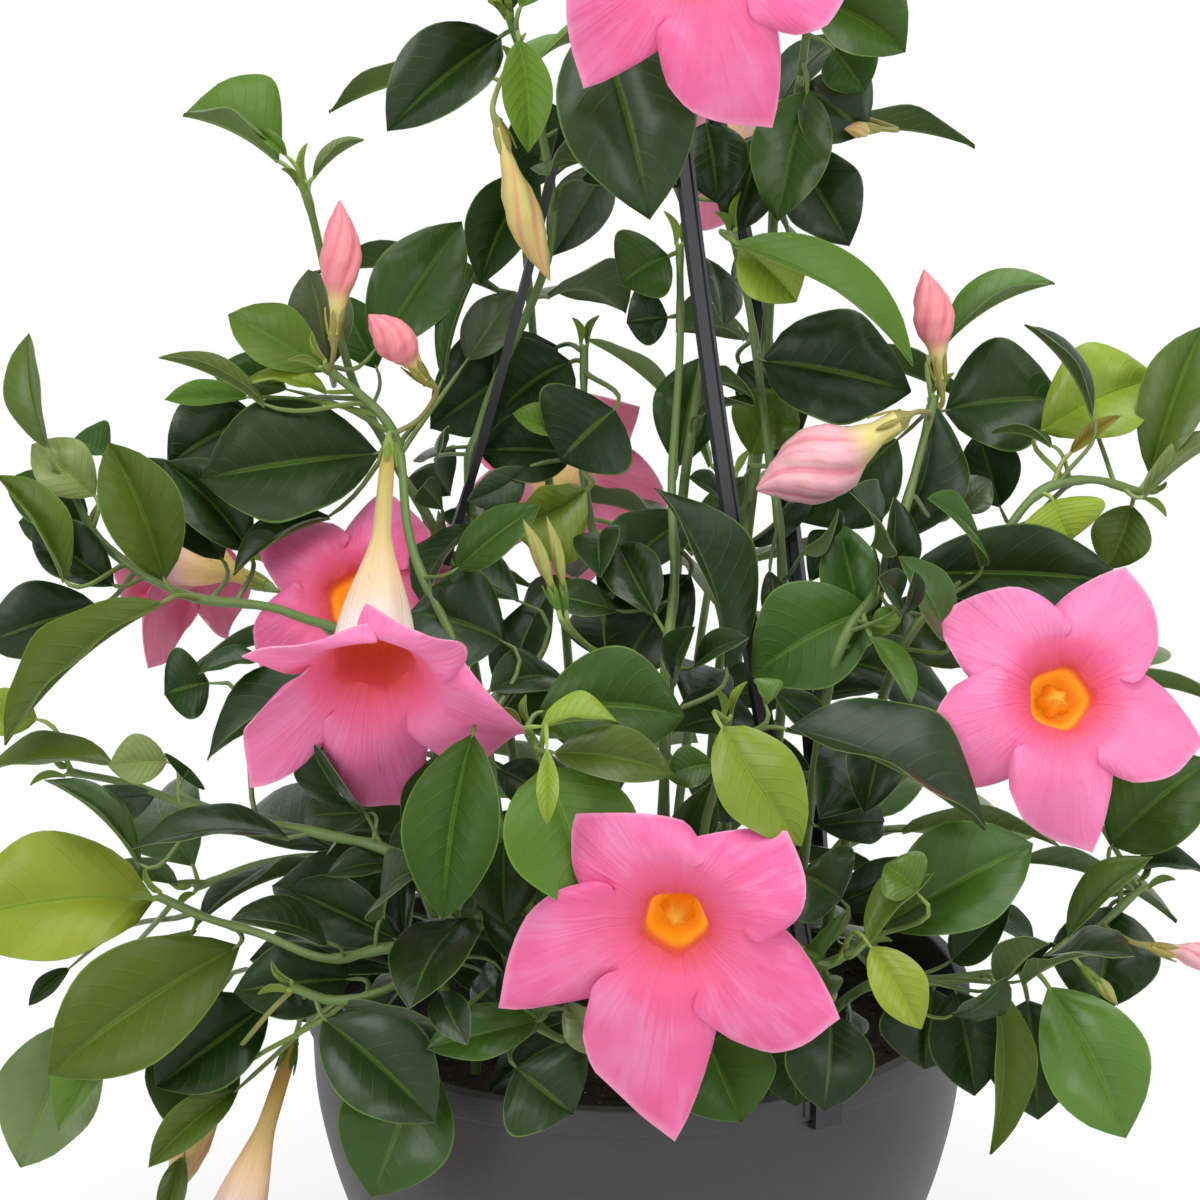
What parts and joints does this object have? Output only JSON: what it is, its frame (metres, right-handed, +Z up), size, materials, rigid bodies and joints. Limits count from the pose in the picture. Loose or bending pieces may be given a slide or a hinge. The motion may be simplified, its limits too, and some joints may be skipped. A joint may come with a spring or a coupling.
{
  "type": "potted mandevilla",
  "caption": "Climbing plant with trumpet flowers, buds and paired glossy leaves, rooted in a round plastic hanging pot with a clip-on hanger and hook.",
  "frame": {"origin": "middle of the pot's flat base, where it stands", "axes": "+Z up along the pot's axis; -Y is the front, where most of the flowers look; +X to the right of someone who faces the front"},
  "size_m": [0.4696, 0.4259, 0.6287],
  "materials": {
    "pot_plastic": "moulded matte dark grey",
    "potting_mix": "moist, coarse and dark brown",
    "hanger_plastic": "satin near-black",
    "petal": "soft satin pink with a yellow throat",
    "bud": "satin pink",
    "foliage": "glossy green, paler beneath"
  },
  "bodies": {
    "root": {"pot": "pot_plastic", "potting_mix": "potting_mix", "hanger_hook": "hanger_plastic", "hanger_arm_left": "hanger_plastic", "hanger_arm_front": "hanger_plastic", "hanger_arm_back": "hanger_plastic", "shoot_crown_left": "foliage", "shoot_crown_center": "foliage", "shoot_crown_right": "foliage", "shoot_lone_sprig": "foliage", "shoot_upper_left": "foliage", "shoot_left_high": "foliage", "shoot_left_middle": "foliage", "shoot_left_low": "foliage", "shoot_bottom_left": "foliage", "shoot_front_left": "foliage", "shoot_front_center": "foliage", "shoot_center_left": "foliage", "shoot_center_right": "foliage", "shoot_right_high": "foliage", "shoot_right_buds": "foliage", "shoot_right_far": "foliage", "shoot_right_middle": "foliage", "shoot_right_low": "foliage", "shoot_bottom_right": "foliage", "shoot_front_low": "foliage", "shoot_back_right": "foliage", "shoot_back_right_low": "foliage", "shoot_back_high_right": "foliage", "shoot_back_middle": "foliage", "shoot_back_low": "foliage", "shoot_back_high_left": "foliage", "shoot_back_left": "foliage", "shoot_back_left_low": "foliage", "flower_top": "petal", "flower_left": "petal", "flower_left_behind": "petal", "flower_front": "petal", "flower_right": "petal", "flower_low_left": "petal", "flower_back_high": "petal", "flower_back": "petal", "flower_back_left": "petal", "bud_upper_left": "bud", "bud_upper_left_second": "bud", "bud_low_left": "bud", "bud_crown": "bud", "bud_center": "bud", "bud_right": "bud", "bud_hooked": "bud", "bud_slender": "bud", "bud_slender_second": "bud", "bud_low_right": "bud", "bud_far_right": "bud"}
  },
  "joints": []
}
